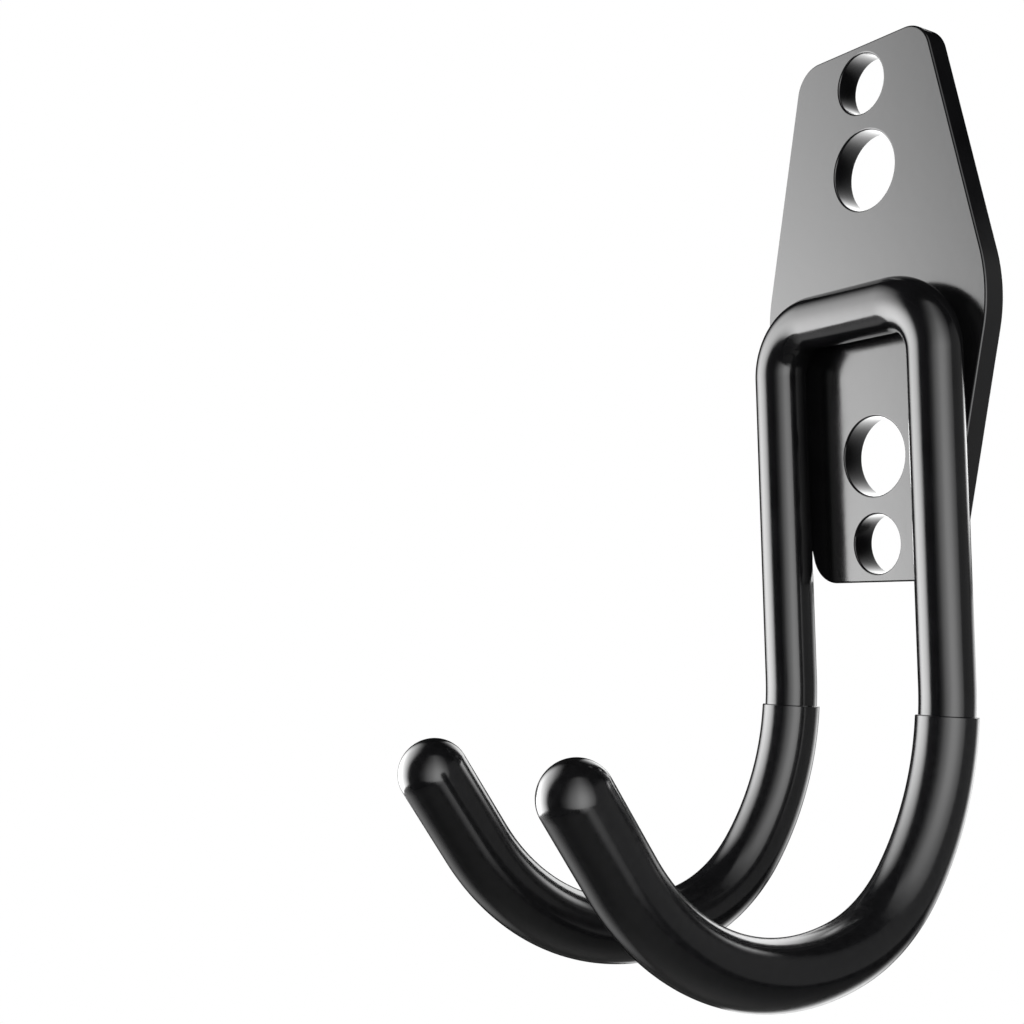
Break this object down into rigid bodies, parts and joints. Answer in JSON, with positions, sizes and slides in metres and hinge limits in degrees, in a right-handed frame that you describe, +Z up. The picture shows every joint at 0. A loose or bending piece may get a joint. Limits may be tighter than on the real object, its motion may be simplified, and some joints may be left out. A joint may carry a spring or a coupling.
{
  "type": "garage utility hook",
  "caption": "Wall hook with an elongated plate, a bent rod welded to it and two parallel J-shaped arms in soft sleeves.",
  "frame": {"origin": "centre of the plate's back face, where it meets the wall", "axes": "+Z up; +Y into the wall, along the back face's outward normal; +X to the right of someone who faces the wall"},
  "size_m": [0.0436, 0.0754, 0.1331],
  "materials": {
    "coated_steel": "gloss black powder coat",
    "vinyl": "gloss black dipped vinyl"
  },
  "bodies": {
    "root": {"back_plate": "coated_steel", "hook_rod": "coated_steel", "weld_bead": "coated_steel", "left_sleeve": "vinyl", "right_sleeve": "vinyl"}
  },
  "joints": []
}
